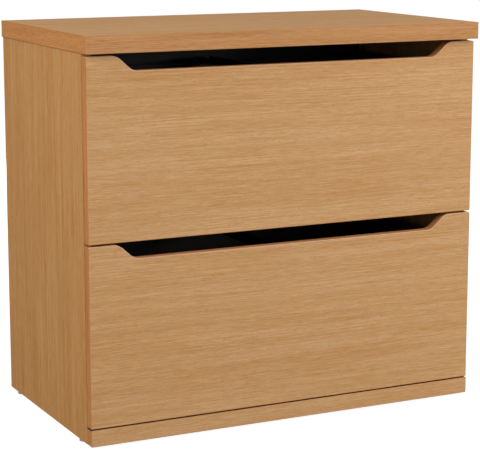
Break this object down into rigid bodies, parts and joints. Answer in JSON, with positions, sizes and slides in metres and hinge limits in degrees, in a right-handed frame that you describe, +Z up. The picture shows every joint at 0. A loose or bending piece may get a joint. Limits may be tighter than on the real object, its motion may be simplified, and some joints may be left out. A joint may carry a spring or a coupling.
{
  "type": "lateral filing cabinet",
  "caption": "Lateral filing cabinet in oak laminate: full-width scooped drawer fronts on full-extension ball-bearing slides, file rails inside, levelling glides below.",
  "frame": {"origin": "on the floor, under the middle of the top panel", "axes": "+X to the right seen from the front, +Y to the back (the drawers open towards -Y), +Z up"},
  "size_m": [0.813, 0.457, 0.749],
  "materials": {
    "oak_laminate": "satin oak-print laminate on particle board, with matching edge band",
    "black_melamine": "matt black melamine on particle board",
    "black_enamel_steel": "satin black enamel on folded sheet steel",
    "zinc_plated_steel": "bright zinc plate on rolled steel",
    "grey_nylon": "moulded grey nylon"
  },
  "bodies": {
    "carcass": {"top_panel": "oak_laminate", "left_side_panel": "oak_laminate", "right_side_panel": "oak_laminate", "back_panel": "oak_laminate", "bottom_panel": "oak_laminate", "plinth_rail": "oak_laminate", "upper_left_slide_outer": "zinc_plated_steel", "upper_right_slide_outer": "zinc_plated_steel", "lower_left_slide_outer": "zinc_plated_steel", "lower_right_slide_outer": "zinc_plated_steel", "front_left_threaded_insert": "zinc_plated_steel", "front_right_threaded_insert": "zinc_plated_steel", "rear_left_threaded_insert": "zinc_plated_steel", "rear_right_threaded_insert": "zinc_plated_steel"},
    "upper_drawer": {"upper_drawer_front": "oak_laminate", "upper_box_left_side": "black_melamine", "upper_box_right_side": "black_melamine", "upper_box_front": "black_melamine", "upper_box_back": "black_melamine", "upper_box_bottom": "black_melamine", "upper_centre_file_rail": "black_enamel_steel", "upper_left_file_rail": "black_enamel_steel", "upper_right_file_rail": "black_enamel_steel", "upper_left_slide_inner": "zinc_plated_steel", "upper_right_slide_inner": "zinc_plated_steel"},
    "upper_slide_middles": {"upper_left_slide_middle": "zinc_plated_steel", "upper_right_slide_middle": "zinc_plated_steel"},
    "upper_outer_cages": {"upper_left_outer_ball_cage": "zinc_plated_steel", "upper_right_outer_ball_cage": "zinc_plated_steel"},
    "upper_inner_cages": {"upper_left_inner_ball_cage": "zinc_plated_steel", "upper_right_inner_ball_cage": "zinc_plated_steel"},
    "lower_drawer": {"lower_drawer_front": "oak_laminate", "lower_box_left_side": "black_melamine", "lower_box_right_side": "black_melamine", "lower_box_front": "black_melamine", "lower_box_back": "black_melamine", "lower_box_bottom": "black_melamine", "lower_centre_file_rail": "black_enamel_steel", "lower_left_file_rail": "black_enamel_steel", "lower_right_file_rail": "black_enamel_steel", "lower_left_slide_inner": "zinc_plated_steel", "lower_right_slide_inner": "zinc_plated_steel"},
    "lower_slide_middles": {"lower_left_slide_middle": "zinc_plated_steel", "lower_right_slide_middle": "zinc_plated_steel"},
    "lower_outer_cages": {"lower_left_outer_ball_cage": "zinc_plated_steel", "lower_right_outer_ball_cage": "zinc_plated_steel"},
    "lower_inner_cages": {"lower_left_inner_ball_cage": "zinc_plated_steel", "lower_right_inner_ball_cage": "zinc_plated_steel"},
    "front_left_glide": {"front_left_glide_pad": "grey_nylon", "front_left_glide_stem": "zinc_plated_steel"},
    "front_right_glide": {"front_right_glide_pad": "grey_nylon", "front_right_glide_stem": "zinc_plated_steel"},
    "rear_left_glide": {"rear_left_glide_pad": "grey_nylon", "rear_left_glide_stem": "zinc_plated_steel"},
    "rear_right_glide": {"rear_right_glide_pad": "grey_nylon", "rear_right_glide_stem": "zinc_plated_steel"}
  },
  "joints": [
    {"name": "upper_drawer_slide", "type": "slide", "parent": "carcass", "child": "upper_drawer", "axis": [0, -1, 0], "range_m": [0, 0.35]},
    {"name": "upper_middles_slide", "type": "slide", "parent": "carcass", "child": "upper_slide_middles", "axis": [0, -1, 0], "range_m": [0, 0.175]},
    {"name": "upper_outer_cages_slide", "type": "slide", "parent": "carcass", "child": "upper_outer_cages", "axis": [0, -1, 0], "range_m": [0, 0.0875]},
    {"name": "upper_inner_cages_slide", "type": "slide", "parent": "carcass", "child": "upper_inner_cages", "axis": [0, -1, 0], "range_m": [0, 0.2625]},
    {"name": "lower_drawer_slide", "type": "slide", "parent": "carcass", "child": "lower_drawer", "axis": [0, -1, 0], "range_m": [0, 0.35]},
    {"name": "lower_middles_slide", "type": "slide", "parent": "carcass", "child": "lower_slide_middles", "axis": [0, -1, 0], "range_m": [0, 0.175]},
    {"name": "lower_outer_cages_slide", "type": "slide", "parent": "carcass", "child": "lower_outer_cages", "axis": [0, -1, 0], "range_m": [0, 0.0875]},
    {"name": "lower_inner_cages_slide", "type": "slide", "parent": "carcass", "child": "lower_inner_cages", "axis": [0, -1, 0], "range_m": [0, 0.2625]},
    {"name": "front_left_glide_screw", "type": "slide", "parent": "carcass", "child": "front_left_glide", "axis": [0, 0, -1], "range_m": [0, 0.012]},
    {"name": "front_right_glide_screw", "type": "slide", "parent": "carcass", "child": "front_right_glide", "axis": [0, 0, -1], "range_m": [0, 0.012]},
    {"name": "rear_left_glide_screw", "type": "slide", "parent": "carcass", "child": "rear_left_glide", "axis": [0, 0, -1], "range_m": [0, 0.012]},
    {"name": "rear_right_glide_screw", "type": "slide", "parent": "carcass", "child": "rear_right_glide", "axis": [0, 0, -1], "range_m": [0, 0.012]}
  ],
  "couplings": [
    {"joint": "upper_middles_slide", "follows": "upper_drawer_slide", "ratio": 0.5},
    {"joint": "upper_outer_cages_slide", "follows": "upper_drawer_slide", "ratio": 0.25},
    {"joint": "upper_inner_cages_slide", "follows": "upper_drawer_slide", "ratio": 0.75},
    {"joint": "lower_middles_slide", "follows": "lower_drawer_slide", "ratio": 0.5},
    {"joint": "lower_outer_cages_slide", "follows": "lower_drawer_slide", "ratio": 0.25},
    {"joint": "lower_inner_cages_slide", "follows": "lower_drawer_slide", "ratio": 0.75}
  ]
}
